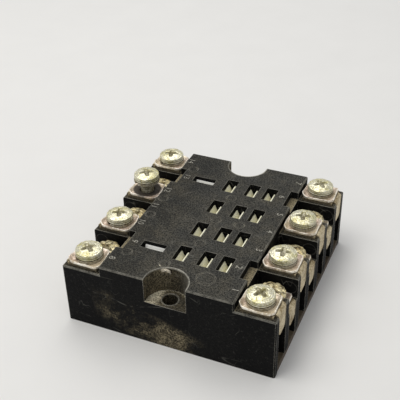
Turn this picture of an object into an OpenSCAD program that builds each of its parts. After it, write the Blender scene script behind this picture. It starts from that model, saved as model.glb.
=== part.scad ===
// Screw terminal socket for a four pole plug in relay.
// Millimetres, +Z up, origin at the middle of the footprint on the mounting surface.
// Terminals 1 to 7 stand along the +X side and 8 to 14 along the -X side, both counted from -Y to +Y.

/* [Housing] */
// Width of the raised middle block that holds the contact slots
core_w = 32.7; // [32:0.1:36]
// Reach of each row of terminal platforms beyond the middle block
platform_reach = 9.65; // [9.4:0.05:12]
// Height of the raised middle block
top_h = 18.6; // [18:0.1:22]
// Height of the upper terminal platforms
upper_h = 16.3; // [15:0.1:17]
// Height of the lower terminal platforms
lower_h = 11; // [10.5:0.1:12.6]
// Width of one upper terminal block, along its row
block_w = 8.2; // [7.8:0.1:8.4]
// Thickness of the end walls outside the last terminal wells
end_wall = 1.75; // [1.4:0.05:3]
// Chamfer along the moulded outer edges
edge_chamfer = 0.3; // [0.1:0.05:0.5]

/* [Terminals] */
// Distance between neighbouring terminals in a row
terminal_pitch = 7.5; // [7.45:0.05:8.5]
// Width of the open well under each terminal
well_w = 4.9; // [4.8:0.05:5.2]
// Distance from the middle block's side to the screw axis
screw_reach = 4.55; // [4.3:0.05:4.8]
// Thickness of the terminal strip
strip_t = 0.6; // [0.4:0.05:0.8]
// Width of an upper terminal pad, along its row
upper_pad_w = 6.6; // [6.2:0.1:7.6]
// Width of a lower terminal pad, along its row
lower_pad_w = 6.1; // [5.8:0.1:6.5]
// Width of the solder tab at its root
tab_w = 4.6; // [3.8:0.1:4.6]
// Width of the solder tab at its tip
tab_tip_w = 4.1; // [3.4:0.1:4.6]
// Length of an upper solder tab below its platform
upper_tab_drop = 5.7; // [4:0.1:7]
// Length of a lower solder tab below its platform
lower_tab_drop = 4.2; // [3.6:0.1:6]
// Width of the lead from the pad down and in to its contact
lead_w = 1.4; // [1:0.05:1.5]

/* [Contacts] */
// Distance between neighbouring poles
pole_pitch = 10; // [9.8:0.05:10.4]
// Position across the socket of the two coil contacts
coil_x = -8.1; // [-9:0.1:-7.8]
// Position across the socket of the moving contact column
common_x = -0.8; // [-1:0.1:-0.5]
// Position across the socket of the make contact column
make_x = 5.2; // [5:0.1:5.4]
// Position across the socket of the break contact column
break_x = 9.9; // [9.6:0.1:11]
// Width of a contact slot
slot_w = 3; // [2.6:0.1:3.2]
// Length of a contact slot
slot_l = 5.4; // [5:0.1:5.5]
// Width of a coil slot
coil_slot_w = 2.5; // [2.3:0.1:3.2]
// Length of a coil slot
coil_slot_l = 5.9; // [5.4:0.1:6.4]
// Thickness of the contact spring strip
spring_t = 0.3; // [0.2:0.05:0.4]
// Gap that the two leaves of a contact leave for the relay's blade
blade_gap = 0.6; // [0.3:0.05:0.8]
// Depth of the leaves' tips below the top of the block
tip_depth = 1.3; // [0.8:0.1:2]
// Depth of the coil contacts' tips below the top of the block
coil_tip_depth = 0.9; // [0.6:0.1:2]

/* [Fasteners] */
// Diameter of the terminal screw's thread
screw_d = 3.5; // [3:0.1:3.6]
// Length of the terminal screw under its head
screw_l = 8; // [6:0.5:10]
// Diameter of the terminal screw's head
head_d = 6.4; // [6:0.1:6.5]
// Height of the terminal screw's head
head_h = 2; // [1.6:0.1:2.4]
// Outer diameter of the captive spring washer
washer_d = 6.1; // [5.4:0.1:6.3]
// Thickness of the captive spring washer
washer_t = 0.7; // [0.5:0.1:1]
// Thickness of the wire clamp plate
clamp_t = 0.6; // [0.4:0.1:0.8]
// Width of a wire clamp plate across the row
clamp_w = 8.4; // [8:0.1:8.6]
// Length of an upper wire clamp plate along the row
upper_clamp_l = 7.2; // [6.6:0.1:7.8]
// Length of a lower wire clamp plate along the row
lower_clamp_l = 6.4; // [6:0.1:6.6]
// Height that the clamp plate's edges curl up
clamp_lip = 0.7; // [0.3:0.1:1]
// How far the loose screw stands out of its tight position
backed_out = 2.7; // [0:0.3:3]
// Terminal whose screw stands loose, or 0 for none
loose_screw = 12; // [0:1:14]

/* [Mounting] */
// Diameter of the two fixing holes
mount_hole_d = 3.7; // [3.2:0.1:4.2]
// Distance from the end face to a fixing hole's axis
mount_inset = 2.8; // [2.6:0.1:3.2]
// Height of the floor of the recess round a fixing hole
mount_floor_h = 12.1; // [10.5:0.1:14]
// Radius of the recess above a fixing hole
mount_recess_r = 5.1; // [4.6:0.1:5.4]
// Distance from the end face to the middle of that recess
mount_recess_inset = 0.9; // [0.5:0.1:1.4]
// Thickness of the base plate
base_t = 1.6; // [1.2:0.1:2]
// Diameter of the base plate's screws
base_screw_d = 2.6; // [2:0.1:3]
// Length of the base plate's screws
base_screw_l = 8; // [5:0.5:10]
// Head diameter of the base plate's screws
base_head_d = 4.6; // [4:0.1:5]
// Distance between the base plate's screws across the socket
base_screw_span_x = 27; // [26.4:0.1:28.4]
// Distance between the base plate's screws along the socket
base_screw_span_y = 21.2; // [20.8:0.1:21.6]

/* [Hidden] */
$fn = 48;
TERMINALS = 14;
PER_ROW = 7;
POLES = 4;

// Clearances.
fit_gap = 0.1;       // plates and leads in the pockets that hold them
thread_gap = 0.05;   // screw in its thread, on the radius
loose_gap = 0.2;     // screw in a plate that it passes through, on the radius
lead_gap = 0.15;     // lead in its channel
spring_gap = 0.12;   // contact spring in its slot
cut = 1;             // how far a cutting shape runs past the face that it opens

// Housing.
body_w = core_w + 2 * platform_reach;
end_block_y = (PER_ROW - 1) / 2 * terminal_pitch;
body_d = 2 * (end_block_y + well_w / 2 + end_wall);
gap_w = 2 * terminal_pitch - block_w;
edge_notch_w = 1.95;         // notches in the top edge above two of the gaps
edge_notch_h = 2;
mark_groove_w = 0.22;        // rings that the moulding pins left on the top
mark_groove_h = 0.12;
mark_r = 1.3;
big_mark_r = 2.2;
mark_inset = 1.8;
mark_shift = 0.8;            // of the middle row, off the line halfway between two columns
mark_beside_slot = 2.2;
corner_mark_in = 1.6;
corner_mark_back = 3.4;
corner_mark_drop = 0.8;
mount_y = body_d / 2 - mount_inset;
mount_recess_y = body_d / 2 - mount_recess_inset;
mount_boss_r = 3.4;
base_plate_d = body_d - 2 * (end_wall + fit_gap);

// Terminal strips.
screw_x = core_w / 2 + screw_reach;
riser_gap = 0.5;
riser_x = core_w / 2 + riser_gap;      // inner face of the riser
tab_x = body_w / 2 - fit_gap;          // outer face of the tab
shoulder_w = 1;                        // narrow part between the wide pad and the bend
shoulder_x = tab_x - shoulder_w;       // outer edge of the wide pad
strip_lap = 1;                         // how far the strip's pieces run into one another
bend_r = 0.5;                          // middle of the strip, at its bends
bend_steps = 6;
tab_chamfer = 0.7;
lane_past_slot = 2.5;
lane_off_pole = 1.2;
outer_lane = 1.5 * pole_pitch + slot_l / 2 + lane_past_slot;   // lead of an end terminal, round the last pole
inner_lane = 0.5 * pole_pitch + lane_off_pole;                 // lead of an inner upper terminal
middle_lane = 1.1;                                             // leads of the two middle terminals, side by side
channel_gap = 0.2;
channel_h = strip_t + spring_t + channel_gap;
column_x = [coil_x, common_x, make_x, break_x];
// Contact that each terminal leads to: [column, pole], for terminals 1 to 14.
leads_to = [
    [2, 0], [3, 0], [3, 1], [2, 1], [3, 2], [3, 3], [2, 3],
    [1, 0], [0, 0], [1, 1], [2, 2], [1, 2], [0, 3], [1, 3]
];

// Contact clips.
clip_end_gap = 0.4;
clip_l = slot_l - 2 * clip_end_gap;
coil_clip_l = coil_slot_l - 2 * clip_end_gap;
clip_bend_r = 0.45;
leaf_foot_h = 3.2;           // straight part of the leaves above their foot
pinch_depth = 3.1;           // closest point of the leaves below the top of the block
guide_lean = 0.1;            // how far the nearly straight leaf leans out above that point

// Fasteners.
recess_w = 0.95;
recess_top_l = 3.9;
recess_bottom_l = 1.5;
recess_h = 1.2;
recess_turn = 37;            // angle from one screw's cross to the next one's
head_rim_h = 1.1;
washer_split = 0.9;
washer_split_angle = 60;
tip_chamfer = 0.6;
clamp_corner = 1.15;         // cut off each corner of a clamp plate
clamp_bend_r = 0.7;
clamp_flat = washer_d / 2 + clamp_bend_r / 2;   // half width of the flat that the washer bears on
tapping_h = strip_t;
base_head_h = (base_head_d - base_screw_d) / 2;
base_recess_w = 0.6;
base_recess_top_l = 2.6;
base_recess_bottom_l = 1.2;
base_recess_h = 0.8;
FULL_TURN = 360;

// Place and kind of each terminal.
function side(k) = k <= PER_ROW ? 1 : -1;
function step(k) = (k - 1) % PER_ROW - (PER_ROW - 1) / 2;
function is_upper(k) = abs(step(k)) % 2 == 1;
function terminal_y(k) = step(k) * terminal_pitch;
function platform_h(k) = is_upper(k) ? upper_h : lower_h;
function tab_drop(k) = is_upper(k) ? upper_tab_drop : lower_tab_drop;
function pad_w(k) = is_upper(k) ? upper_pad_w : lower_pad_w;
function clamp_l(k) = is_upper(k) ? upper_clamp_l : lower_clamp_l;
function lift(k) = k == loose_screw ? backed_out : 0;
function washer_z(k) = platform_h(k) + strip_t + clamp_t + lift(k);
function pole_y(pole) = (pole - (POLES - 1) / 2) * pole_pitch;
function contact_x(k) = column_x[leads_to[k - 1][0]];
function contact_y(k) = pole_y(leads_to[k - 1][1]);
function is_coil(k) = leads_to[k - 1][0] == 0;
function lane_y(k) =
    abs(step(k)) == 3 ? sign(step(k)) * outer_lane
    : abs(step(k)) == 2 ? terminal_y(k)
    : abs(step(k)) == 1 ? sign(step(k)) * inner_lane
    : -side(k) * middle_lane;

// A bent strip: its middle line has round corners, and its two faces lie half a thickness to each side.
function unit(v) = v / norm(v);
function turned(v) = [-v[1], v[0]];
function corner_arc(a, b, c, r) =
    let (
        u = unit(a - b),
        w = unit(c - b),
        half = acos(u * w) / 2,
        centre = b + unit(u + w) * r / sin(half),
        p = b + u * r / tan(half) - centre,
        q = b + w * r / tan(half) - centre,
        start = atan2(p[1], p[0]),
        swing = (atan2(q[1], q[0]) - start + 1.5 * FULL_TURN) % FULL_TURN - FULL_TURN / 2
    )
    [for (i = [0:bend_steps]) centre + r * [cos(start + swing * i / bend_steps), sin(start + swing * i / bend_steps)]];
function rounded(path, r) = [
    path[0],
    for (i = [1:len(path) - 2]) each corner_arc(path[i - 1], path[i], path[i + 1], r),
    path[len(path) - 1]
];
function normal_at(path, i) =
    let (
        n = len(path),
        before = i == 0 ? undef : unit(path[i] - path[i - 1]),
        after = i == n - 1 ? undef : unit(path[i + 1] - path[i]),
        way = i == 0 ? after : i == n - 1 ? before : unit(before + after),
        stretch = i == 0 || i == n - 1 ? 1 : 1 / (way * after)
    )
    turned(way) * stretch;
function strip_outline(path, t) = concat(
    [for (i = [0:len(path) - 1]) path[i] + normal_at(path, i) * t / 2],
    [for (i = [len(path) - 1:-1:0]) path[i] - normal_at(path, i) * t / 2]
);

// Extrudes an outline drawn in X and Z along Y, centred.
module along_y(length) {
    rotate([90, 0, 0])
        linear_extrude(height = length, center = true)
            children();
}

// Extrudes an outline drawn in Y and Z along X, centred.
module along_x(length) {
    rotate([90, 0, 90])
        linear_extrude(height = length, center = true)
            children();
}

// A bent strip of the given width along Y.
module bent_strip(path, r, t, width) {
    along_y(width)
        polygon(strip_outline(rounded(path, r), t));
}

// Outline of a box whose two top corners are cut off.
module cut_corners(width, height, c) {
    polygon([
        [-width / 2, 0],
        [width / 2, 0],
        [width / 2, height - c],
        [width / 2 - c, height],
        [-width / 2 + c, height],
        [-width / 2, height - c]
    ]);
}

// A rectangle whose four corners are cut off.
module cut_rectangle(width, depth, c) {
    polygon([
        [-width / 2 + c, -depth / 2],
        [width / 2 - c, -depth / 2],
        [width / 2, -depth / 2 + c],
        [width / 2, depth / 2 - c],
        [width / 2 - c, depth / 2],
        [-width / 2 + c, depth / 2],
        [-width / 2, depth / 2 - c],
        [-width / 2, -depth / 2 + c]
    ]);
}

// A box on the mounting surface with chamfered top and upright edges.
module moulded_box(width, depth, height, c) {
    intersection() {
        along_y(depth)
            cut_corners(width, height, c);
        along_x(width)
            cut_corners(depth, height, c);
        linear_extrude(height = height)
            cut_rectangle(width, depth, c);
    }
}

// Flat course of one lead, from its riser along its lane and on to its contact.
module lead_plan(k, grow) {
    w = lead_w + 2 * grow;
    x_riser = side(k) * riser_x;
    x_outer = x_riser + side(k) * (strip_t + grow);
    x_inner = contact_x(k) - side(k) * w / 2;
    y_low = min(lane_y(k), contact_y(k));
    y_high = max(lane_y(k), contact_y(k));
    translate([min(x_outer, x_inner), lane_y(k) - w / 2])
        square([abs(x_outer - x_inner), w]);
    translate([contact_x(k) - w / 2, y_low - w / 2])
        square([w, y_high - y_low + w]);
}

// Outline of the foot that a contact clip stands on.
module foot_plan(k) {
    across = (is_coil(k) ? coil_slot_w : slot_w) - 2 * spring_gap;
    along = is_coil(k) ? coil_clip_l : clip_l;
    translate([contact_x(k), contact_y(k)])
        square(is_coil(k) ? [along, across] : [across, along], center = true);
}

// Slot that one contact clip stands in, open at both ends.
module contact_slot(k) {
    opening = is_coil(k) ? [coil_slot_l, coil_slot_w] : [slot_w, slot_l];
    translate([contact_x(k), contact_y(k), base_t - cut])
        linear_extrude(height = top_h - base_t + 2 * cut)
            square(opening, center = true);
}

// Well under one terminal, open at the outer side, with the slot for the riser.
module terminal_well(k) {
    height = top_h - base_t + 2 * cut;
    translate([side(k) * screw_x, terminal_y(k), base_t - cut]) {
        cylinder(d = well_w, h = height);
        translate([side(k) > 0 ? 0 : -platform_reach, -well_w / 2, 0])
            cube([platform_reach, well_w, height]);
    }
    translate([side(k) * (riser_x + strip_t / 2), lane_y(k), base_t - cut])
        linear_extrude(height = height)
            square([strip_t + 2 * fit_gap, lead_w + 2 * fit_gap], center = true);
}

// Gap above one lower platform.
module lower_gap(k) {
    width = platform_reach + cut;
    translate([side(k) > 0 ? core_w / 2 : -core_w / 2 - width, terminal_y(k) - gap_w / 2, lower_h])
        cube([width, gap_w, top_h]);
}

// Notch in the top edge beside one of the outer lower terminals.
module edge_notch(k) {
    x_in = core_w / 2 - edge_notch_w;
    translate([side(k) > 0 ? x_in : -core_w / 2 - cut, terminal_y(k) - gap_w / 2, top_h - edge_notch_h])
        cube([edge_notch_w + cut, gap_w, edge_notch_h + cut]);
}

// Recess and hole for one fixing screw, at the -Y end for end = -1.
module mount_recess(end) {
    translate([0, end * mount_recess_y, mount_floor_h]) {
        cylinder(r = mount_recess_r, h = top_h);
        translate([-mount_recess_r, end > 0 ? 0 : -mount_recess_r, 0])
            cube([2 * mount_recess_r, mount_recess_r, top_h]);
    }
    translate([0, end * mount_y, -cut])
        cylinder(d = mount_hole_d, h = top_h + 2 * cut);
}

// Ring left on the top face by a moulding pin.
module pin_mark(x, y, r) {
    translate([x, y, top_h - mark_groove_h])
        difference() {
            cylinder(r = r, h = mark_groove_h + cut);
            translate([0, 0, -cut])
                cylinder(r = r - mark_groove_w, h = mark_groove_h + 3 * cut);
        }
}

module pin_marks() {
    row_x = (common_x + make_x) / 2 - mark_shift;
    edge_x = core_w / 2 - mark_inset;
    corner_y = end_block_y - corner_mark_back;
    for (y = [-pole_pitch, 0, pole_pitch])
        pin_mark(row_x, y, mark_r);
    for (end = [-1, 1]) {
        pin_mark(-edge_x, end * terminal_pitch / 2, mark_r);
        pin_mark(-edge_x + corner_mark_in, end * corner_y, mark_r);
    }
    pin_mark(common_x - mark_beside_slot, -corner_y - corner_mark_drop, mark_r);
    pin_mark(make_x + mark_beside_slot, 0, mark_r);
    pin_mark(break_x - big_mark_r, -corner_y - big_mark_r, big_mark_r);
}

module at_base_screws() {
    for (x = [-1, 1])
        for (y = [-1, 1])
            translate([x * base_screw_span_x / 2, y * base_screw_span_y / 2, 0])
                children();
}

module housing() {
    color([0.09, 0.09, 0.09])
        difference() {
            union() {
                moulded_box(core_w, body_d, top_h, edge_chamfer);
                moulded_box(body_w, body_d, upper_h, edge_chamfer);
            }
            // pocket for the base plate, round the two fixing bosses
            difference() {
                translate([-body_w / 2 - cut, -base_plate_d / 2 - fit_gap, -cut])
                    cube([body_w + 2 * cut, base_plate_d + 2 * fit_gap, base_t + cut]);
                for (end = [-1, 1])
                    translate([0, end * mount_y, -cut])
                        cylinder(r = mount_boss_r, h = base_t + 2 * cut);
            }
            for (k = [1:TERMINALS]) {
                contact_slot(k);
                terminal_well(k);
                translate([0, 0, base_t - cut])
                    linear_extrude(height = channel_h + cut)
                        lead_plan(k, lead_gap);
                if (!is_upper(k))
                    lower_gap(k);
                if (abs(step(k)) == 2)
                    edge_notch(k);
            }
            for (end = [-1, 1])
                mount_recess(end);
            at_base_screws()
                cylinder(d = base_screw_d, h = base_screw_l + cut);
            pin_marks();
        }
}

module base_plate() {
    color([0.24, 0.19, 0.14])
        difference() {
            translate([-body_w / 2 + fit_gap, -base_plate_d / 2, 0])
                cube([body_w - 2 * fit_gap, base_plate_d, base_t]);
            for (end = [-1, 1])
                translate([0, end * mount_y, -cut])
                    cylinder(r = mount_boss_r + fit_gap, h = base_t + 2 * cut);
            at_base_screws() {
                translate([0, 0, -cut])
                    cylinder(d = base_screw_d + 2 * thread_gap, h = base_t + 2 * cut);
                cylinder(d1 = base_head_d, d2 = base_screw_d, h = base_head_h);
            }
        }
}

// Wing-shaped cuts of a cross recess, from the top of a head down.
module cross_recess(top_l, bottom_l, width, depth) {
    for (turn = [0, 90])
        rotate([0, 0, turn])
            along_y(width)
                polygon([
                    [-bottom_l / 2, -depth],
                    [bottom_l / 2, -depth],
                    [top_l / 2, 0],
                    [top_l / 2, cut],
                    [-top_l / 2, cut],
                    [-top_l / 2, 0]
                ]);
}

module base_screws() {
    color([0.62, 0.6, 0.55])
        at_base_screws()
            difference() {
                union() {
                    cylinder(d1 = base_head_d, d2 = base_screw_d, h = base_head_h);
                    cylinder(d = base_screw_d, h = base_screw_l - tip_chamfer);
                    translate([0, 0, base_screw_l - tip_chamfer])
                        cylinder(d1 = base_screw_d, d2 = base_screw_d - 2 * tip_chamfer, h = tip_chamfer);
                }
                mirror([0, 0, 1])
                    cross_recess(base_recess_top_l, base_recess_bottom_l, base_recess_w, base_recess_h);
            }
}

// One wire clamp plate, lying on z = 0 with its middle on the screw's axis.
module clamp_plate(length) {
    half = clamp_w / 2;
    difference() {
        intersection() {
            bent_strip(
                [
                    [-half, clamp_t / 2 + clamp_lip],
                    [-clamp_flat, clamp_t / 2],
                    [clamp_flat, clamp_t / 2],
                    [half, clamp_t / 2 + clamp_lip]
                ],
                clamp_bend_r, clamp_t, length
            );
            linear_extrude(height = clamp_t + clamp_lip + cut)
                cut_rectangle(clamp_w + clamp_t, length, clamp_corner + clamp_t / 2);
        }
        translate([0, 0, -cut])
            cylinder(d = screw_d + 2 * loose_gap, h = clamp_t + 2 * cut);
    }
}

module clamp_plates() {
    color([0.8, 0.74, 0.66])
        for (k = [1:TERMINALS])
            translate([side(k) * screw_x, terminal_y(k), platform_h(k) + strip_t])
                clamp_plate(clamp_l(k));
}

// Face of a solder tab in Y and Z: tapered from its root down, with cut corners at the tip.
module tab_outline(foot_z, root_z) {
    top_z = root_z + strip_t + cut;
    polygon([
        [-tab_w / 2, top_z],
        [-tab_w / 2, root_z],
        [-tab_tip_w / 2, foot_z + tab_chamfer],
        [-tab_tip_w / 2 + tab_chamfer, foot_z],
        [tab_tip_w / 2 - tab_chamfer, foot_z],
        [tab_tip_w / 2, foot_z + tab_chamfer],
        [tab_w / 2, root_z],
        [tab_w / 2, top_z]
    ]);
}

// Terminal strip: solder tab, tapped pad, riser and the lead along the base to its contact.
module terminal(k) {
    middle_z = platform_h(k) + strip_t / 2;
    tab_foot = platform_h(k) - tab_drop(k);
    color([0.76, 0.66, 0.45])
        difference() {
            union() {
                translate([0, terminal_y(k), 0])
                    on_side(side(k))
                        intersection() {
                            bent_strip(
                                [
                                    [tab_x - strip_t / 2, tab_foot],
                                    [tab_x - strip_t / 2, middle_z],
                                    [shoulder_x - strip_lap, middle_z]
                                ],
                                bend_r, strip_t, tab_w
                            );
                            translate([shoulder_x, 0, 0])
                                along_x(4 * (shoulder_w + strip_lap))
                                    tab_outline(tab_foot, platform_h(k));
                        }
                on_side(side(k))
                    translate([riser_x + bend_r, terminal_y(k) - pad_w(k) / 2, platform_h(k)])
                        cube([shoulder_x - riser_x - bend_r, pad_w(k), strip_t]);
                on_side(side(k))
                    translate([0, lane_y(k), 0])
                        bent_strip(
                            [
                                [riser_x + bend_r + strip_lap, middle_z],
                                [riser_x + strip_t / 2, middle_z],
                                [riser_x + strip_t / 2, base_t]
                            ],
                            bend_r, strip_t, lead_w
                        );
                translate([0, 0, base_t])
                    linear_extrude(height = strip_t)
                        union() {
                            lead_plan(k, 0);
                            foot_plan(k);
                        }
            }
            translate([side(k) * screw_x, terminal_y(k), platform_h(k) - cut])
                cylinder(r = screw_d / 2 + thread_gap, h = tapping_h + 2 * cut);
        }
}

// Turns a shape drawn for the +X side round for the -X side.
module on_side(way) {
    if (way > 0)
        children();
    else
        mirror([1, 0, 0])
            children();
}

// Middle line of one leaf, from its foot up to its pinch and its tip.
function leaf(across, tip) = [
    [across, base_t + strip_t + spring_t / 2],
    [across, base_t + strip_t + spring_t / 2 + leaf_foot_h],
    [(blade_gap + spring_t) / 2, top_h - pinch_depth],
    tip
];

// Contact clip: one strip folded into two leaves that pinch the relay's blade. One leaf flares to guide
// the blade in, and its partner flares too on a coil contact but is nearly straight on the others.
module contact_clip(k) {
    across = (is_coil(k) ? coil_slot_w : slot_w) / 2 - spring_gap - spring_t / 2;
    length = is_coil(k) ? coil_clip_l : clip_l;
    tip_z = top_h - (is_coil(k) ? coil_tip_depth : tip_depth);
    guide_x = is_coil(k) ? across : (blade_gap + spring_t) / 2 + guide_lean;
    flared = leaf(across, [across, tip_z]);
    guide = leaf(across, [guide_x, tip_z]);
    color([0.72, 0.74, 0.62])
        translate([contact_x(k), contact_y(k), 0])
            rotate([0, 0, is_coil(k) ? 90 : 0])
                bent_strip(
                    concat([for (i = [len(flared) - 1:-1:0]) [-flared[i][0], flared[i][1]]], guide),
                    clip_bend_r, spring_t, length
                );
}

// Split ring that rides under the screw's head.
module spring_washer(k) {
    color([0.66, 0.62, 0.54])
        translate([side(k) * screw_x, terminal_y(k), washer_z(k)])
            difference() {
                cylinder(d = washer_d, h = washer_t);
                translate([0, 0, -cut])
                    cylinder(d = screw_d + 2 * loose_gap, h = washer_t + 2 * cut);
                rotate([0, 0, side(k) * washer_split_angle])
                    translate([0, -washer_split / 2, -cut])
                        cube([washer_d, washer_split, washer_t + 2 * cut]);
            }
}

// Pan head screw with a cross recess.
module terminal_screw(k) {
    r = head_d / 2;
    dome = head_h - head_rim_h;
    dome_r = (r * r + dome * dome) / (2 * dome);
    dome_angle = asin(r / dome_r);
    color([0.82, 0.8, 0.68])
        translate([side(k) * screw_x, terminal_y(k), washer_z(k) + washer_t])
            difference() {
                union() {
                    rotate_extrude()
                        polygon(concat(
                            [[0, 0], [r, 0]],
                            [for (i = [bend_steps:-1:0])
                                [
                                    dome_r * sin(dome_angle * i / bend_steps),
                                    head_h - dome_r + dome_r * cos(dome_angle * i / bend_steps)
                                ]]
                        ));
                    translate([0, 0, tip_chamfer - screw_l])
                        cylinder(d = screw_d, h = screw_l - tip_chamfer);
                    translate([0, 0, -screw_l])
                        cylinder(d1 = screw_d - 2 * tip_chamfer, d2 = screw_d, h = tip_chamfer);
                }
                rotate([0, 0, recess_turn * k])
                    translate([0, 0, head_h])
                        cross_recess(recess_top_l, recess_bottom_l, recess_w, recess_h);
            }
}

housing();
base_plate();
base_screws();
clamp_plates();
for (k = [1:TERMINALS]) {
    terminal(k);
    contact_clip(k);
    spring_washer(k);
    terminal_screw(k);
}
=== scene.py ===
# %% [markdown]
# # A screw terminal socket for a plug in relay
# The socket is a black moulded block with two rows of screw terminals, a slotted middle where the
# relay's blades go in, and a round recess at each end for its fixing screw.
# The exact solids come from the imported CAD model. They could all be rebuilt here, but then the shape
# would be kept in two places, so they are loaded as a fixed frame and only dressed.

# %% Load the frame
import math

import bpy
import numpy as np
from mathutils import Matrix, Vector


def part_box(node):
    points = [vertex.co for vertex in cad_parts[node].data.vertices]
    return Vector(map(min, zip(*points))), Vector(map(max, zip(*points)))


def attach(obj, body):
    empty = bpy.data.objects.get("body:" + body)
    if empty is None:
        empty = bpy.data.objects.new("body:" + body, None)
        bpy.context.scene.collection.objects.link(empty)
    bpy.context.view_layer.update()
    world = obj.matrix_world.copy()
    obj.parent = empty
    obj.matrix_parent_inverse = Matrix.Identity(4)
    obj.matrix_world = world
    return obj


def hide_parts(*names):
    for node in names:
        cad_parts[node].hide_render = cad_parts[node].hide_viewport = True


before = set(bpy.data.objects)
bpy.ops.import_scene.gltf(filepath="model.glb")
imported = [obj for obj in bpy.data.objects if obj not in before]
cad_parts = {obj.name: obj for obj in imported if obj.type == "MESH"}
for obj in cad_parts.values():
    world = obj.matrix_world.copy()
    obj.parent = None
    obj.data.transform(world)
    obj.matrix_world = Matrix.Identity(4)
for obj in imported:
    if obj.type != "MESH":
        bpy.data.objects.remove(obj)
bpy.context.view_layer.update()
MM = 0.001
TERMINALS = range(1, 15)

# %% [markdown]
# ## Where things stand
# Every new piece needs the place of the CAD piece that it goes with. Numbers could be typed in again,
# but reading each node's box keeps the two models together when the CAD changes.

# %% Measure the frame


def box_of(node_name):
    """Lowest and highest corner of a CAD node, as two arrays in metres."""
    low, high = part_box(node_name)
    return np.array(low), np.array(high)


def is_upper(k):
    """Every second terminal of a row stands on the upper step."""
    return (k - 1) % 7 % 2 == 0


housing_low, housing_high = box_of("housing")
TOP = housing_high[2]
END = housing_high[1]
SIDE = housing_high[0]
screw_axis, washer_foot, washer_top = {}, {}, {}
for k in TERMINALS:
    low, high = box_of("terminal_screw_%d" % k)
    screw_axis[k] = (low + high) / 2
    washer_foot[k], washer_top[k] = (corner[2] for corner in box_of("spring_washer_%d" % k))
print("top of the block %.2f mm, end face %.2f mm" % (TOP / MM, END / MM))

# %% [markdown]
# ## Surfaces from arrays
# Screws, washers and plates are all one closed skin. They could be cut from primitives with booleans,
# but a skin worked out as a grid of points has clean faces, round edges and no leftover slivers.
# Rows of the grid run along the piece's profile and columns run round it.

# %% Grid helpers


def grid_faces(rows, columns, closed_rows=False):
    """Quads of a grid whose columns close on themselves: point (i, j) joins (i + 1, j + 1)."""
    i = np.arange(rows if closed_rows else rows - 1)[:, None]
    j = np.arange(columns)[None, :]
    i_next, j_next = (i + 1) % rows, (j + 1) % columns
    corners = [i * columns + j, i * columns + j_next, i_next * columns + j_next, i_next * columns + j]
    return np.stack(np.broadcast_arrays(*corners), axis=-1).reshape(-1, 4)


def pole_faces(first, pole, columns, flip):
    """Triangles from a ring of points to one pole."""
    j = np.arange(columns)
    ring = np.stack([first + j, first + (j + 1) % columns, np.full(columns, pole)], axis=-1)
    return ring[:, ::-1] if flip else ring


def mesh_from(name, points, faces, masks=None):
    """A mesh from an array of points and a list of face arrays, with one float attribute per mask."""
    mesh = bpy.data.meshes.new(name)
    mesh.from_pydata(points.tolist(), [], [face for part in faces for face in part.tolist()])
    for mask_name, values in (masks or {}).items():
        layer = mesh.attributes.new(mask_name, "FLOAT", "POINT")
        layer.data.foreach_set("value", np.ascontiguousarray(values, dtype=np.float32))
    mesh.polygons.foreach_set("use_smooth", np.ones(len(mesh.polygons), dtype=bool))
    mesh.update()
    return mesh


def add_piece(name, mesh, body, slot_name, *nodes):
    """Puts a mesh into the scene on a body, and hides the CAD nodes that it stands for."""
    piece = bpy.data.objects.new(name, mesh)
    bpy.context.scene.collection.objects.link(piece)
    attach(piece, body)
    if nodes:
        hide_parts(*nodes)
    return piece


def smooth_step(low, high, x):
    """0 below low, 1 above high, and the cubic 3t^2 - 2t^3 between them."""
    t = np.clip((x - low) / (high - low), 0.0, 1.0)
    return t * t * (3.0 - 2.0 * t)


# %% [markdown]
# ## Terminal screws
# A pan head with a cross recess, plated and scratched by screwdrivers. The recess could be a boolean
# cut, but a height that is lowered inside four arms keeps rounded lips like a pressed recess.
# The shank carries a real helical thread, which shows on the screw that stands loose.

# %% Measures of the screw
HEAD_R = 3.2 * MM
HEAD_H = 1.96 * MM
RIM_H = 1.3 * MM
RIM_ROUND = 0.28 * MM
SHANK_R = 1.75 * MM
SHANK_L = 8.0 * MM
THREAD_PITCH = 0.6 * MM
THREAD_DEPTH = 0.32 * MM
RECESS_ARM = 1.9 * MM
RECESS_HALF_W = 0.56 * MM
RECESS_TAPER = 0.4
RECESS_DEPTH = 1.1 * MM
RIM_GROOVE = 0.14 * MM
RECESS_TURN = {1: 55, 3: 8, 5: 12, 7: 38, 8: 50, 10: 20, 12: 35, 14: 15}
ROUND_COLUMNS = 128
RIPPLE = 0.025 * MM
RIPPLE_PITCH = 0.42 * MM
CRUMPLE = {True: 0.05 * MM, False: 0.16 * MM}

# %% Profile and recess


def screw_profile():
    """Radius and height from the top pole down: dome, rounded rim, underside, shank and tip."""
    dome_r = np.linspace(0.0, HEAD_R - RIM_ROUND, 42)[1:]
    dome_z = RIM_H + (HEAD_H - RIM_H) * (1 - (dome_r / HEAD_R) ** 2.4)
    turn = np.linspace(0.0, math.pi / 2, 6)[1:]
    start_z = dome_z[-1]
    rim_r = HEAD_R - RIM_ROUND + RIM_ROUND * np.sin(turn)
    rim_z = start_z - RIM_ROUND * 1.3 * (1 - np.cos(turn))
    side_z = np.linspace(rim_z[-1] - 0.06 * MM, 0.1 * MM, 25)
    side_r = HEAD_R - RIM_GROOVE * (0.5 + 0.5 * np.cos(side_z / (0.085 * MM)))
    foot_r = np.concatenate([side_r, [HEAD_R - 0.14 * MM, SHANK_R]])
    foot_z = np.concatenate([side_z, [0.0, 0.0]])
    shank_z = np.linspace(-0.05 * MM, 0.6 * MM - SHANK_L, 100)
    tip_z = np.array([0.3 * MM - SHANK_L, -SHANK_L])
    radius = np.concatenate([dome_r, rim_r, foot_r, np.full(len(shank_z), SHANK_R), [1.45 * MM, 1.15 * MM]])
    height = np.concatenate([dome_z, rim_z, foot_z, shank_z, tip_z])
    return radius, height


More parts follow.
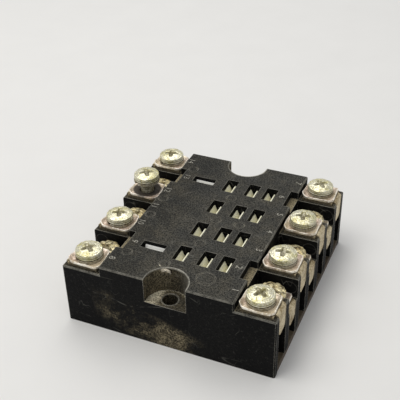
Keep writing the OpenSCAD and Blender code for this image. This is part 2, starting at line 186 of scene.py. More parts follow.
def recess_depth(x, y):
    """Depth of the cross at (x, y): each arm is a slot that narrows and whose floor rises towards its end."""
    depth = np.zeros_like(x)
    for across, along in ((x, y), (y, x)):
        out = np.clip(np.abs(along) / RECESS_ARM, 0, 1)
        floor = RECESS_DEPTH * (1 - 0.7 * out)
        half = RECESS_HALF_W * (1 - RECESS_TAPER * out)
        walls = 1 - smooth_step(half - 0.08 * MM, half + 0.14 * MM, np.abs(across))
        end = 1 - smooth_step(RECESS_ARM - 0.35 * MM, RECESS_ARM, np.abs(along))
        depth = np.maximum(depth, floor * walls * end)
    return depth


def thread_radius(z, angle):
    """Radius of the shank: a ridge in the shape of a triangle wave of z and the turn round the axis."""
    phase = (z / THREAD_PITCH - angle / (2 * math.pi)) % 1.0
    wave = np.abs(2 * phase - 1)
    taper = smooth_step(-0.2 * MM, -0.9 * MM, z)
    return SHANK_R - THREAD_DEPTH * (1 - wave) * taper


def screw_mesh(k):
    """The whole screw: its profile turned about the axis, with the cross and the thread worked in."""
    radius, height = screw_profile()
    angle = np.linspace(0, 2 * math.pi, ROUND_COLUMNS, endpoint=False)[None, :]
    r = np.repeat(radius[:, None], ROUND_COLUMNS, axis=1)
    z = np.repeat(height[:, None], ROUND_COLUMNS, axis=1)
    on_shank = (height < -0.02 * MM) & (height > 0.5 * MM - SHANK_L)
    r[on_shank] = thread_radius(z[on_shank], np.repeat(angle, on_shank.sum(), axis=0))
    turn = math.radians(RECESS_TURN.get(k, 37 * k))
    x, y = r * np.cos(angle), r * np.sin(angle)
    xc = x * math.cos(turn) + y * math.sin(turn)
    yc = y * math.cos(turn) - x * math.sin(turn)
    on_dome = (z > RIM_H * 0.9).astype(float)
    depth = recess_depth(xc, yc) * on_dome
    crumple = CRUMPLE[is_upper(k)] * np.sin(x / (0.31 * MM) + 3 * k) * np.sin(y / (0.27 * MM) + 5 * k)
    turns = np.sin(2 * math.pi * r / RIPPLE_PITCH + 1.5 * np.sin(angle + k)) * smooth_step(1.4 * MM, 2.2 * MM, r)
    nick = 0.04 * MM * np.sin(5 * angle + k) * np.sin(2 * angle + 2 * k) + RIPPLE * turns + crumple
    z = z - depth + nick * on_dome * (r / HEAD_R) ** 2
    # painted shade: the cross recess darkens with its depth, and the rim grooves, the foot of the head and the shank
    # below it are dark; only the pits are grime
    lips = np.clip(depth / RECESS_DEPTH * 1.6 - 0.15, 0, 0.85)
    under = 1 - smooth_step(0.05 * MM, 0.35 * MM, z)
    groove_shade = 0.9 * np.clip((HEAD_R - r) / RIM_GROOVE, 0, 1) * (r > HEAD_R - 2 * RIM_GROOVE) * (z < RIM_H)
    pits = 0.5 * smooth_step(0.55, 0.95, np.sin(x / (0.11 * MM) + 7 * k) * np.sin(y / (0.13 * MM) + 4 * k)) * on_dome
    grime_and_shade = np.maximum(np.maximum(lips, 0.95 * under), np.maximum(groove_shade, pits))
    ring = np.stack([x, y, z], axis=-1).reshape(-1, 3)
    poles = np.array([[0, 0, HEAD_H - RECESS_DEPTH], [0, 0, -SHANK_L]])
    centre = np.array([screw_axis[k][0], screw_axis[k][1], washer_top[k]])
    points = np.concatenate([ring, poles]) + centre
    rows = len(radius)
    faces = [
        grid_faces(rows, ROUND_COLUMNS)[:, ::-1],
        pole_faces(0, len(ring), ROUND_COLUMNS, False),
        pole_faces((rows - 1) * ROUND_COLUMNS, len(ring) + 1, ROUND_COLUMNS, True),
    ]
    return mesh_from("screw_%d" % k, points, faces, {"grime_and_shade": np.append(grime_and_shade.ravel(), [1.0, 0.5])})


screws = [
    add_piece("cross_head_screw_%d" % k, screw_mesh(k), "screw_%d" % k, "screw_steel", "terminal_screw_%d" % k)
    for k in TERMINALS
]
print("screws", len(screws), "faces each", len(screws[0].data.polygons))

# %% [markdown]
# ## Spring washers
# Under each head sits a split ring. A torus would be too round and a cut cylinder too sharp, so a
# rounded rectangle is carried round the axis and stopped short at the split.

# %% Washers
WASHER_R = 3.3 * MM
WASHER_BORE_R = 1.95 * MM
WASHER_SPLIT = 0.9 * MM
WASHER_ANGLE = math.radians(60)


def washer_section(width, height, corner):
    """Superellipse of power 6 about its middle, counter-clockwise, with a waist worn into its outer side."""
    turn = np.linspace(0, 2 * math.pi, 28, endpoint=False)
    c, s = np.cos(turn), np.sin(turn)
    across = np.sign(c) * np.abs(c) ** (1 / 3) * width / 2
    up = np.sign(s) * np.abs(s) ** (1 / 3) * height / 2
    waist = corner * np.exp(-((up / (0.1 * MM)) ** 2)) * (c > 0)
    return np.stack([across - waist, up], axis=-1)


def washer_mesh(k):
    """The rounded section carried round the axis from one side of the split to the other."""
    height = washer_top[k] - washer_foot[k]
    section = washer_section(WASHER_R - WASHER_BORE_R, height, 0.14 * MM)
    middle_r = (WASHER_R + WASHER_BORE_R) / 2
    half_gap = WASHER_SPLIT / 2 / middle_r
    start = (WASHER_ANGLE if k <= 7 else math.pi + WASHER_ANGLE) + half_gap
    angle = start + np.linspace(0, 2 * math.pi - 2 * half_gap, 73)
    r = middle_r + section[None, :, 0]
    z = washer_foot[k] + height / 2 + section[None, :, 1] + 0 * angle[:, None]
    points = np.stack([r * np.cos(angle)[:, None], r * np.sin(angle)[:, None], z], axis=-1).reshape(-1, 3)
    points[:, :2] += screw_axis[k][:2]
    columns = len(section)
    ends = np.stack([points[:columns].mean(0), points[-columns:].mean(0)])
    rows = len(angle)
    faces = [
        grid_faces(rows, columns)[:, ::-1],
        pole_faces(0, len(points), columns, False),
        pole_faces((rows - 1) * columns, len(points) + 1, columns, True),
    ]
    # painted shade: the ring is darker at its top and bottom edges, where it meets head and plate, and round its middle
    off_middle = np.abs(section[:, 1]) / height
    dark = np.maximum(smooth_step(0.28, 0.46, off_middle), 0.9 * (off_middle < 0.1))
    seam = np.append(np.tile(dark, rows), [1.0, 1.0])
    return mesh_from("washer_%d" % k, np.concatenate([points, ends]), faces, {"grime_and_shade": seam})


washers = [
    add_piece("split_washer_%d" % k, washer_mesh(k), "washer_%d" % k, "washer_steel", "spring_washer_%d" % k)
    for k in TERMINALS
]
print("washers", len(washers))

# %% [markdown]
# ## Wire clamp plates
# Each screw presses a small square plate on the wire. Years of tightening have curled its edges up
# and buckled its corners. A sheet with a cloth or bend modifier could do it, but a closed section
# carried round the hole gives the plate its thickness, its curl and its worn outline at once.

# %% Plates
PLATE_T = 0.6 * MM
PLATE_HALF_X = 4.2 * MM
PLATE_HALF_Y = {True: 3.6 * MM, False: 3.2 * MM}
PLATE_HOLE_R = 1.95 * MM
PLATE_FLAT_R = 3.25 * MM
PLATE_CORNER = 1.74
PLATE_CURL = 0.7 * MM
PLATE_BUCKLE = {True: 0.06 * MM, False: 0.12 * MM}
PLATE_LIP = 0.16 * MM
PLATE_COLUMNS = 144


def plate_outline(angle, half_x, half_y, k):
    """Distance from the hole's axis to the edge: a power mean of two straight sides and a cut corner, made uneven."""
    c, s = np.abs(np.cos(angle)) / half_x, np.abs(np.sin(angle)) / half_y
    edge = (c**26 + s**26 + ((c + s) / PLATE_CORNER) ** 26) ** (-1 / 26)
    return edge * (1 - 0.012 * (1 + np.sin(3 * angle + 1.7 * k)) - 0.008 * (1 + np.sin(7 * angle + 2.9 * k)))


def plate_bend(x, y, k):
    """Rise of the plate: tightening has curled one corner up at each end, and buckled it past the washer."""
    end = smooth_step(2.9 * MM, PLATE_HALF_X, np.abs(x))
    lean = 0.06 + (0.74 + 0.12 * np.sin(2.1 * k)) * smooth_step(-1.2 * MM, 3.0 * MM, y * np.sign(x))
    reach = smooth_step(PLATE_FLAT_R * 0.95, PLATE_FLAT_R * 1.35, np.hypot(x, y))
    amount = PLATE_BUCKLE[is_upper(k)]
    buckle = amount * (1 + np.sin(x / (0.9 * MM) + 1.3 * k) * np.sin(y / (0.8 * MM) + 2.1 * k))
    return PLATE_CURL * end * lean + reach * buckle * 0.5


def plate_mesh_arrays(k):
    """Section (top, rounded edge, underside, bore) carried round the hole, then bent."""
    half_y = PLATE_HALF_Y[is_upper(k)]
    angle = np.linspace(0, 2 * math.pi, PLATE_COLUMNS, endpoint=False)
    outer = plate_outline(angle, PLATE_HALF_X, half_y, k)
    turn = np.linspace(0, math.pi, 7)[1:-1]
    across = np.concatenate([np.linspace(0, 1, 16), np.ones(len(turn)), np.linspace(1, 0, 8)])
    bulge = np.concatenate([np.zeros(16), np.sin(turn), np.zeros(8)])
    up = np.concatenate([np.full(16, 1.0), 0.5 + 0.5 * np.cos(turn), np.zeros(8)])
    rim = 0.12 * MM
    radius = PLATE_HOLE_R + (outer - rim - PLATE_HOLE_R)[None, :] * across[:, None] + rim * bulge[:, None]
    x, y = radius * np.cos(angle), radius * np.sin(angle)
    lip = PLATE_LIP * smooth_step(-0.4 * MM, -0.12 * MM, radius - outer[None, :])
    z = plate_bend(x, y, k) + PLATE_T * up[:, None] + lip * (0.6 + 0.4 * np.sin(5 * angle + k)) * up[:, None]
    low = washer_foot[k] - PLATE_T if k != LOOSE else LOOSE_PLATE_Z
    points = np.stack([x + screw_axis[k][0], y + screw_axis[k][1], z + low], axis=-1).reshape(-1, 3)
    # how far the dark disc round the hole is pulled in under the washer; none on the loose screw
    dark_disc_shift = 0.0 if k == LOOSE else 0.75
    from_axis = (radius / MM).ravel() + dark_disc_shift
    edge = np.clip(1 - (outer[None, :] - radius) / (0.45 * MM), 0, 1).ravel()
    return points, grid_faces(len(across), PLATE_COLUMNS, closed_rows=True)[:, ::-1], from_axis, edge


LOOSE = max(TERMINALS, key=lambda k: washer_foot[k])
LOOSE_PLATE_Z = washer_foot[[k for k in TERMINALS if is_upper(k) and k != LOOSE][0]] - PLATE_T
plate_parts = [plate_mesh_arrays(k) for k in TERMINALS]
plate_starts = np.cumsum([0] + [len(part[0]) for part in plate_parts])
plate_mesh = mesh_from(
    "clamp_plates",
    np.concatenate([part[0] for part in plate_parts]),
    [part[1] + start for part, start in zip(plate_parts, plate_starts)],
    {
        "from_axis": np.concatenate([part[2] for part in plate_parts]),
        "edge": np.concatenate([part[3] for part in plate_parts]),
    },
)
plates = add_piece("wire_clamp_plates", plate_mesh, "root", "clamp_plating", "clamp_plates")
print("plates", len(plate_parts), "faces", len(plate_mesh.polygons), "loose screw", LOOSE)

# %% [markdown]
# ## Terminal numbers
# Small raised numbers stand beside the terminals, read from the -X side. They could be a bump in the
# material, but then they would vanish from the mesh, so each is text turned into a low relief.

# %% Numbers
NUMBER_H = 1.55 * MM
RELIEF_H = 0.1 * MM
NUMBER_X = 15.0 * MM
NUMBER_X_AT_NOTCH = 13.0 * MM
SUNK = 0.05 * MM


def relief_number(text, x, y):
    """The text's mesh with its reading direction along -Y and its top towards +X."""
    curve = bpy.data.curves.new("number", "FONT")
    curve.body = text
    curve.size = NUMBER_H / 0.7
    curve.align_x, curve.align_y = "CENTER", "CENTER"
    curve.extrude = (RELIEF_H + SUNK) / 2
    curve.resolution_u = 3
    holder = bpy.data.objects.new("number", curve)
    bpy.context.scene.collection.objects.link(holder)
    bpy.context.view_layer.update()
    flat = bpy.data.meshes.new_from_object(holder.evaluated_get(bpy.context.evaluated_depsgraph_get()))
    bpy.data.objects.remove(holder)
    co = np.zeros(len(flat.vertices) * 3, dtype=np.float32)
    flat.vertices.foreach_get("co", co)
    co = co.reshape(-1, 3)
    turned = np.stack([x + co[:, 1], y - co[:, 0], TOP - SUNK + (RELIEF_H + SUNK) / 2 + co[:, 2]], axis=-1)
    faces = [list(p.vertices) for p in flat.polygons]
    return turned, faces


def number_place(k):
    """Beside its terminal, and further in where a notch cuts the edge."""
    side = 1 if k <= 7 else -1
    step = (k - 1) % 7 - 3
    x = NUMBER_X_AT_NOTCH if abs(step) == 2 else NUMBER_X
    return side * x, screw_axis[k][1]


number_points, number_faces, start = [], [], 0
for k in TERMINALS:
    points, faces = relief_number(str(k), *number_place(k))
    number_points.append(points)
    number_faces += [[start + corner for corner in face] for face in faces]
    start += len(points)
number_mesh = bpy.data.meshes.new("terminal_numbers")
number_mesh.from_pydata(np.concatenate(number_points).tolist(), [], number_faces)
number_mesh.update()
numbers = add_piece("terminal_numbers", number_mesh, "root", "phenolic_body")
print("numbers", len(number_points), "faces", len(number_mesh.polygons))

# %% [markdown]
# ## Marks of the mould
# Ejector pins left a ring on the side of each upper step, a low lip surrounds each fixing hole, and a
# lump of torn flash hangs from the rim of one recess. They are too shallow for the CAD model, so they
# are ridges and a lump that stand on it. A bump map would lose them in a close view.

# %% Rings and the lump
STEP_HALF_W = 4.1 * MM
PIN_RING_R = 1.6 * MM
HOLE_LIP_R = 2.05 * MM
LEDGE = TOP - 6.5 * MM
HOLE_Y = END - 2.8 * MM
RECESS_R = 5.1 * MM
RECESS_Y = END - 0.9 * MM


def ridge_ring(centre, along, across, r, width, height, columns=72):
    """A ridge round a circle in the plane of along and across: an ellipse carried round it, half sunk."""
    out = np.cross(along, across)
    t = np.linspace(0, 2 * math.pi, 12, endpoint=False)[:, None, None]
    a = np.linspace(0, 2 * math.pi, columns, endpoint=False)[None, :, None]
    round_it = np.cos(a) * np.array(along) + np.sin(a) * np.array(across)
    points = np.array(centre) + (r + width / 2 * np.cos(t)) * round_it + height * np.sin(t) * out
    return points.reshape(-1, 3), grid_faces(12, columns, closed_rows=True)


def torn_lump(centre, radii, columns=48, rows=23):
    """A ball stretched to three radii whose surface is pushed in and out by crossed sines."""
    polar = np.linspace(0, math.pi, rows + 2)[1:-1, None]
    a = np.linspace(0, 2 * math.pi, columns, endpoint=False)[None, :]
    push = 1 + 0.16 * np.sin(5 * a + 1.0) * np.sin(3 * polar) + 0.1 * np.sin(9 * a + 2.0) * np.sin(7 * polar)
    unit = np.stack([np.sin(polar) * np.cos(a), np.sin(polar) * np.sin(a), np.cos(polar) + 0 * a], axis=-1)
    ball = (unit * push[..., None]).reshape(-1, 3)
    points = np.concatenate([ball, [[0, 0, 1], [0, 0, -1]]]) * radii + centre
    faces = [
        grid_faces(rows, columns)[:, ::-1],
        pole_faces(0, len(ball), columns, False),
        pole_faces((rows - 1) * columns, len(ball) + 1, columns, True),
    ]
    return points, faces


marks = []
for k in TERMINALS:
    if is_upper(k) and k not in (1, 8):
        x = math.copysign(SIDE - 2.0 * MM, screw_axis[k][0])
        face = (x, screw_axis[k][1] - STEP_HALF_W, TOP - 5.0 * MM)
        marks.append(ridge_ring(face, (1, 0, 0), (0, 0, 1), PIN_RING_R, 0.14 * MM, 0.03 * MM))
lips = [
    ridge_ring((0, end * HOLE_Y, LEDGE), (1, 0, 0), (0, 1, 0), HOLE_LIP_R, 0.26 * MM, 0.1 * MM) for end in (-1, 1)
]


def joined_rings(name, rings):
    """One mesh of several rings."""
    starts = np.cumsum([0] + [len(points) for points, _ in rings])
    faces = [faces + start for (_, faces), start in zip(rings, starts)]
    return mesh_from(name, np.concatenate([points for points, _ in rings]), faces)


mould_marks = add_piece("mould_marks", joined_rings("mould_marks", marks), "root", "phenolic_body")
hole_lips = add_piece("hole_lips", joined_rings("hole_lips", lips), "root", "phenolic_body")
lump_place = (-2.3 * MM, RECESS_R - RECESS_Y - 0.75 * MM, TOP - 0.95 * MM)
flash_mesh = mesh_from("torn_flash", *torn_lump(np.array(lump_place), np.array([1.6, 0.55, 0.75]) * MM))
torn_flash = add_piece("torn_flash", flash_mesh, "root", "phenolic_body")
print("marks", len(marks), "lump", len(flash_mesh.polygons))

# %% [markdown]
# ## Shared effects
# Black plastic and plated metal look real through what happened to them: rubbed edges, dust in the
# corners, scratches and stains. Each effect is a node group, built once and placed in every material
# with its own values. Nodes that trace rays, such as Bevel, stay in the material itself.

# %% Node helpers


def put(tree, kind, inputs=None, **settings):
    """Adds a node, sets it, and fills its sockets: a socket is linked and anything else is its value."""
    made = tree.nodes.new(kind)
    for name, value in settings.items():
        setattr(made, name, value)
    for name, value in (inputs or {}).items():
        if isinstance(value, bpy.types.NodeSocket):
            tree.links.new(value, made.inputs[name])
        else:
            made.inputs[name].default_value = value
    return made


def math_node(tree, operation, a, b=0.0, c=0.0, clamp=False):
    """One Math node and its result."""
    return put(tree, "ShaderNodeMath", {0: a, 1: b, 2: c}, operation=operation, use_clamp=clamp).outputs[0]


def between(tree, value, low, high, to_low=0.0, to_high=1.0):
    """Map Range, clamped, with a smooth step."""
    made = put(tree, "ShaderNodeMapRange", {"Value": value}, interpolation_type="SMOOTHSTEP")
    for name, number in (("From Min", low), ("From Max", high), ("To Min", to_low), ("To Max", to_high)):
        if isinstance(number, bpy.types.NodeSocket):
            tree.links.new(number, made.inputs[name])
        else:
            made.inputs[name].default_value = number
    return made.outputs["Result"]


def mix_colour(tree, factor, a, b):
    """Colour a where the factor is 0 and colour b where it is 1."""
    made = put(tree, "ShaderNodeMix", data_type="RGBA")
    for socket, value in ((made.inputs[0], factor), (made.inputs[6], a), (made.inputs[7], b)):
        if isinstance(value, bpy.types.NodeSocket):
            tree.links.new(value, socket)
        else:
            socket.default_value = value
    return made.outputs[2]


def object_point(tree):
    """Object coordinates, in metres."""
    return put(tree, "ShaderNodeTexCoord").outputs["Object"]


def noise(tree, point, scale, detail=3.0, roughness=0.55):
    """A noise texture's value."""
    inputs = {"Vector": point, "Scale": scale, "Detail": detail, "Roughness": roughness}
    return put(tree, "ShaderNodeTexNoise", inputs).outputs["Fac"]


def new_group(name, inputs, outputs):
    """An empty node group with named sockets; inputs map a name to its default number or vector."""
    tree = bpy.data.node_groups.new(name, "ShaderNodeTree")
    for socket_name, value in inputs.items():
        kind = "NodeSocketVector" if isinstance(value, tuple) else "NodeSocketFloat"
        tree.interface.new_socket(name=socket_name, in_out="INPUT", socket_type=kind).default_value = value
    for socket_name in outputs:
        tree.interface.new_socket(name=socket_name, in_out="OUTPUT", socket_type="NodeSocketFloat")
    return tree, put(tree, "NodeGroupInput").outputs, put(tree, "NodeGroupOutput").inputs


def use_group(tree, group, **inputs):
    """Places a node group in a material; a socket named with spaces is given with underscores."""
    made = put(tree, "ShaderNodeGroup", node_tree=group)
    for name, value in inputs.items():
        socket = made.inputs[name.replace("_", " ")]
        if isinstance(value, bpy.types.NodeSocket):
            tree.links.new(value, socket)
        else:
            socket.default_value = value
    return made.outputs


# %% [markdown]
# ### Rubbed edges
# Corners lose their skin first. The Bevel node gives the normal that a rounded edge would have, and
# where that differs from the true normal there is an edge. Patches of noise keep it from being even.

# %% Edge wear group
edge_wear, given, result = new_group("edge_wear", {"Rounded Normal": (0.0, 0.0, 1.0), "Patch Scale": 300.0, "Amount": 1.0}, ["Mask"])
flat_normal = put(edge_wear, "ShaderNodeNewGeometry").outputs["Normal"]
agreement = put(edge_wear, "ShaderNodeVectorMath", {0: given["Rounded Normal"], 1: flat_normal}, operation="DOT_PRODUCT")
edge_amount = between(edge_wear, agreement.outputs["Value"], 0.995, 0.86)
edge_patches = between(edge_wear, noise(edge_wear, object_point(edge_wear), given["Patch Scale"]), 0.3, 0.62, 0.4, 1.0)
edge_result = math_node(edge_wear, "MULTIPLY", math_node(edge_wear, "MULTIPLY", edge_amount, edge_patches), given["Amount"], clamp=True)
edge_wear.links.new(edge_result, result["Mask"])

# %% [markdown]
# ### Dust
# Dust lies on faces that look up and packs into corners, where an Ambient Occlusion node sees little
# sky. The material hands in that openness, and the group adds the lie of the face and the patches.

# %% Dust group
settled_dust, given, result = new_group("settled_dust", {"Openness": 1.0, "Patch Scale": 160.0, "Corner": 1.0, "Film": 0.3}, ["Mask"])
dust_normal = put(settled_dust, "ShaderNodeNewGeometry").outputs["Normal"]
upward = between(settled_dust, put(settled_dust, "ShaderNodeSeparateXYZ", {"Vector": dust_normal}).outputs["Z"], 0.2, 0.95)
dust_point = object_point(settled_dust)
dust_patches = between(settled_dust, noise(settled_dust, dust_point, given["Patch Scale"], 5.0, 0.65), 0.35, 0.7)
packed = math_node(settled_dust, "MULTIPLY", between(settled_dust, given["Openness"], 0.85, 0.25), given["Corner"])
lying = math_node(settled_dust, "MULTIPLY_ADD", given["Film"], dust_patches, packed)
dust_fine = between(settled_dust, noise(settled_dust, dust_point, 2600.0, 2.0), 0.25, 0.75, 0.55, 1.1)
dust_result = math_node(settled_dust, "MULTIPLY", math_node(settled_dust, "MULTIPLY", lying, upward), dust_fine, clamp=True)
settled_dust.links.new(dust_result, result["Mask"])

# %% [markdown]
# ### Scratches
# A scratch is a thin line in one rough direction. A noise texture stretched along one axis has long
# narrow level lines, and keeping only values close to its middle leaves thin strokes.

# %% Scratch group
fine_scratches, given, result = new_group("fine_scratches", {"Scale": 300.0, "Width": 0.02, "Turn": 0.6}, ["Mask"])
stroke_masks = []
for lean in (0.0, 1.15):
    angle = math_node(fine_scratches, "ADD", given["Turn"], lean)
    turned = put(fine_scratches, "ShaderNodeVectorRotate", {"Vector": object_point(fine_scratches), "Angle": angle}, rotation_type="Z_AXIS")
    drawn = put(fine_scratches, "ShaderNodeVectorMath", {0: turned.outputs["Vector"], 1: (1.0, 0.07, 0.4)}, operation="MULTIPLY")
    level = noise(fine_scratches, drawn.outputs["Vector"], given["Scale"], 1.0, 0.4)
    off_level = math_node(fine_scratches, "ABSOLUTE", math_node(fine_scratches, "SUBTRACT", level, 0.5))
    stroke = between(fine_scratches, off_level, given["Width"], 0.0)
    where = between(fine_scratches, noise(fine_scratches, object_point(fine_scratches), 220.0 + 90.0 * lean, 2.0), 0.52, 0.68)
    stroke_masks.append(math_node(fine_scratches, "MULTIPLY", stroke, where))
fine_scratches.links.new(math_node(fine_scratches, "MAXIMUM", *stroke_masks), result["Mask"])

# %% [markdown]
# ### Grain
# Nothing here is even close up. Two sizes of noise give a mottle for the colour and a height for the
# bump.

# %% Grain group
surface_grain, given, result = new_group("surface_grain", {"Fine Scale": 3000.0, "Coarse Scale": 260.0}, ["Mottle", "Height"])
grain_point = object_point(surface_grain)
fine_noise = noise(surface_grain, grain_point, given["Fine Scale"], 2.0, 0.6)
coarse_noise = noise(surface_grain, grain_point, given["Coarse Scale"], 5.0, 0.6)
surface_grain.links.new(math_node(surface_grain, "MULTIPLY_ADD", fine_noise, 0.5, math_node(surface_grain, "MULTIPLY", coarse_noise, 0.5)), result["Mottle"])
surface_grain.links.new(math_node(surface_grain, "MULTIPLY_ADD", coarse_noise, 0.6, math_node(surface_grain, "MULTIPLY", fine_noise, 0.4)), result["Height"])
print("groups", [group.name for group in bpy.data.node_groups])

# %% [markdown]
# ## Black moulded body
# The body is a black phenolic moulding. Its sides are still nearly black, its top is greyed by dust and
# rubbing, its edges show a thin pale line and brown dust fills the corners of the steps. Painted shade
# darkens the top towards -X and the steps under the plates, and painted light brightens the recess rim,
# the right part of its wall and the crumbs on its floor.

# %% Start of a material


def new_material(name):
    """A material with an empty tree, its Principled shader and its output."""
    made = bpy.data.materials.new(name)
    made.use_nodes = True
    tree = made.node_tree
    tree.nodes.clear()
    shader = put(tree, "ShaderNodeBsdfPrincipled")
    put(tree, "ShaderNodeOutputMaterial", {"Surface": shader.outputs["BSDF"]})
    return made, tree, shader


def feed(tree, shader, **inputs):
    """Links or sets the shader's sockets; Base_Color is the socket Base Color."""
    for name, value in inputs.items():
        socket = shader.inputs[name.replace("_", " ")]
        if isinstance(value, bpy.types.NodeSocket):
            tree.links.new(value, socket)
        else:
            socket.default_value = value


def rounded_normal(tree, radius):
    """The normal of the surface with its edges rounded to this radius."""
    return put(tree, "ShaderNodeBevel", {"Radius": radius}, samples=6).outputs["Normal"]


def openness(tree, distance):
    """How much of the sky a point sees within this distance, from 0 to 1."""
    return put(tree, "ShaderNodeAmbientOcclusion", {"Distance": distance}, samples=8).outputs["AO"]


def bumped(tree, height, distance, normal, strength=1.0):
    """A Bump node over the given normal."""
    inputs = {"Height": height, "Distance": distance, "Strength": strength, "Normal": normal}
    return put(tree, "ShaderNodeBump", inputs).outputs["Normal"]


# %% Phenolic
BLACK = (0.004, 0.004, 0.0042, 1)
GREYED = (0.085, 0.083, 0.073, 1)
PALE = (0.5, 0.48, 0.42, 1)
RUBBED_AND_LIT = (0.42, 0.4, 0.34, 1)
TAN_DUST = (0.27, 0.225, 0.14, 1)
STROKE = (0.16, 0.155, 0.135, 1)
CRUMBS_AND_LIGHT = (0.75, 0.68, 0.5, 1)
NOTCH_FLOOR = TOP - 1.5 * MM
CORE = 16.35 * MM
SMEAR_SLANT = 0.3


def near(tree, place, middle, reach):
    """1 inside half of the reach from a middle value and 0 past it."""
    off = math_node(tree, "ABSOLUTE", math_node(tree, "SUBTRACT", place, middle))
    return between(tree, off, reach, 0.5 * reach)


def phenolic_material(name, grey, cover, rubbed_and_lit=RUBBED_AND_LIT, inner_fade=0.25):
    """Black plastic: greyed where it looks up, rubbed on its edges, dusty in its corners and smeared at one end, with
    painted shade and painted light in places.
    """
    made, tree, shader = new_material(name)
    point = object_point(tree)
    place = put(tree, "ShaderNodeSeparateXYZ", {"Vector": point}).outputs
    facing = put(tree, "ShaderNodeSeparateXYZ", {"Vector": put(tree, "ShaderNodeNewGeometry").outputs["Normal"]}).outputs
    grain = use_group(tree, surface_grain, Fine_Scale=2100.0, Coarse_Scale=300.0)
    worn_normal = rounded_normal(tree, 0.24 * MM)
    worn = use_group(tree, edge_wear, Rounded_Normal=worn_normal, Patch_Scale=330.0, Amount=0.9)["Mask"]
    worn = math_node(tree, "MULTIPLY", worn, between(tree, openness(tree, 0.25 * MM), 0.5, 0.8))
    sideways = math_node(tree, "ABSOLUTE", place["X"])
    lengthways = math_node(tree, "ABSOLUTE", place["Y"])
    patches = between(tree, grain["Height"], 0.36, 0.6, 0.3, 1.15)
    # chamfers are rubbed all along; the recess rim is rubbed and carries a painted highlight, brighter towards +X
    chamfer = math_node(tree, "MULTIPLY", near(tree, facing["Z"], 0.707, 0.25), 0.32)
    from_middle = put(tree, "ShaderNodeCombineXYZ", {"X": sideways, "Y": math_node(tree, "SUBTRACT", lengthways, RECESS_Y)})
    from_recess = put(tree, "ShaderNodeVectorMath", {0: from_middle.outputs["Vector"]}, operation="LENGTH").outputs["Value"]
    rim = math_node(tree, "MULTIPLY", between(tree, from_recess, RECESS_R + 0.32 * MM, RECESS_R + 0.16 * MM), between(tree, place["Z"], TOP - 0.5 * MM, TOP - 0.2 * MM, 0.0, between(tree, place["X"], -3.5 * MM, -0.5 * MM, 0.35, 0.9)))
    worn = math_node(tree, "MAXIMUM", worn, math_node(tree, "MULTIPLY", math_node(tree, "MAXIMUM", chamfer, rim), patches), clamp=True)
    inner = math_node(tree, "MULTIPLY", between(tree, lengthways, END - 0.6 * MM, END - 1.0 * MM), between(tree, sideways, CORE - 0.6 * MM, CORE - 1.0 * MM))
    on_top = math_node(tree, "MULTIPLY", inner, between(tree, place["Z"], TOP - 0.3 * MM, TOP - 0.1 * MM, 0.0, inner_fade))
    on_top = math_node(tree, "MULTIPLY", on_top, between(tree, from_recess, RECESS_R + 0.4 * MM, RECESS_R + 0.6 * MM))
    worn = math_node(tree, "MULTIPLY", worn, math_node(tree, "SUBTRACT", 1.0, on_top))
    dust = use_group(tree, settled_dust, Openness=openness(tree, 3.0 * MM), Patch_Scale=190.0, Corner=0.55, Film=0.12)["Mask"]
    strokes = use_group(tree, fine_scratches, Scale=420.0, Width=0.011, Turn=0.5)["Mask"]
    up = between(tree, facing["Z"], 0.8, 0.98)
    speckle = between(tree, noise(tree, point, 2900.0, 3.0, 0.8), 0.38, 0.64, 0.15, 2.0)
    mottle = math_node(tree, "MULTIPLY", between(tree, grain["Mottle"], 0.38, 0.62, 0.65, 1.1), speckle)
    # painted shade: the grey film on the top is darker towards -X
    shaded_end = between(tree, place["X"], -13.0 * MM, -2.0 * MM, 0.62, 1.0)
    grey_film_and_shade = math_node(tree, "MULTIPLY", math_node(tree, "MULTIPLY_ADD", math_node(tree, "MULTIPLY", up, shaded_end), cover, 0.035), mottle, clamp=True)
    in_recess = math_node(tree, "MULTIPLY", between(tree, sideways, 5.5 * MM, 5.2 * MM), between(tree, lengthways, END - 6.4 * MM, END - 6.1 * MM))
    low = between(tree, place["Z"], NOTCH_FLOOR + 0.5 * MM, NOTCH_FLOOR)
    grey_film_and_shade = math_node(tree, "MULTIPLY", grey_film_and_shade, math_node(tree, "MULTIPLY_ADD", math_node(tree, "MULTIPLY", in_recess, low), -0.75, 1.0))
    # painted shade: the film and the dust on the steps under the plates are kept low
    shade_under_plates = between(tree, sideways, CORE + 0.1 * MM, CORE + 0.3 * MM, 1.0, 0.35)
    grey_film_and_shade = math_node(tree, "MULTIPLY", grey_film_and_shade, shade_under_plates)
    colour = mix_colour(tree, grey_film_and_shade, BLACK, grey)
    specks = between(tree, noise(tree, point, 1700.0, 4.0, 0.8), 0.56, 0.74, 0.0, math_node(tree, "MULTIPLY_ADD", up, 0.2, 0.26))
    colour = mix_colour(tree, math_node(tree, "MAXIMUM", specks, math_node(tree, "MULTIPLY", strokes, 0.45)), colour, STROKE)
    # dust lies on the ledges and is thickest in one corner of the recess; the steps under the plates get little, as
    # painted shade
    on_step = between(tree, sideways, CORE + 0.1 * MM, CORE + 0.3 * MM, 2.4, 0.14)
    in_corner = between(tree, place["X"], -1.0 * MM, -3.6 * MM, 0.03, 1.5)
    thick = math_node(tree, "MULTIPLY_ADD", in_recess, math_node(tree, "SUBTRACT", in_corner, on_step), on_step)
    ledge = math_node(tree, "MULTIPLY", math_node(tree, "MULTIPLY", up, low), thick)
